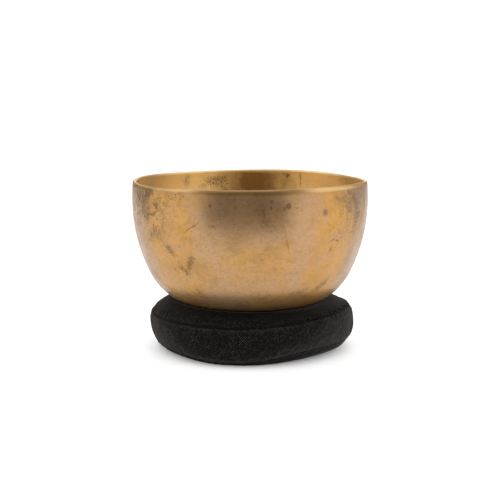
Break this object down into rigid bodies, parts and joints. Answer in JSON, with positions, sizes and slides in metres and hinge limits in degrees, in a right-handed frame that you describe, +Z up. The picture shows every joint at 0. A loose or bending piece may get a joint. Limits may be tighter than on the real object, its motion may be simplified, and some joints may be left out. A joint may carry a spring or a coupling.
{
  "type": "singing bowl",
  "caption": "Hand-hammered bronze singing bowl resting in the dished top of a round boxed cushion of black cotton twill.",
  "frame": {"origin": "centre of the cushion's underside, on the surface that it stands on", "axes": "+Z up along the bowl's axis; the band's own join and the hand-closed stretch of its lower seam are at the back, towards +Y"},
  "size_m": [0.1652, 0.1652, 0.1188],
  "materials": {
    "aged_bronze": "satin, hand-hammered and aged",
    "twill_top": "black cotton twill",
    "twill_band": "black cotton twill",
    "twill_bottom": "black cotton twill",
    "wadding": "loose cotton wadding",
    "thread": "black sewing thread"
  },
  "bodies": {
    "cushion": {"top_panel": "twill_top", "side_band": "twill_band", "bottom_panel": "twill_bottom", "filling": "wadding", "top_seam_needle_thread": "thread", "top_seam_bobbin_thread": "thread", "bottom_seam_needle_thread": "thread", "bottom_seam_bobbin_thread": "thread", "band_join_needle_thread": "thread", "band_join_bobbin_thread": "thread", "closing_thread": "thread"},
    "bowl_body": {"bowl": "aged_bronze"}
  },
  "joints": [
    {"name": "bowl_lift", "type": "slide", "parent": "cushion", "child": "bowl_body", "axis": [0, 0, 1], "range_m": [0, 0.1]}
  ]
}
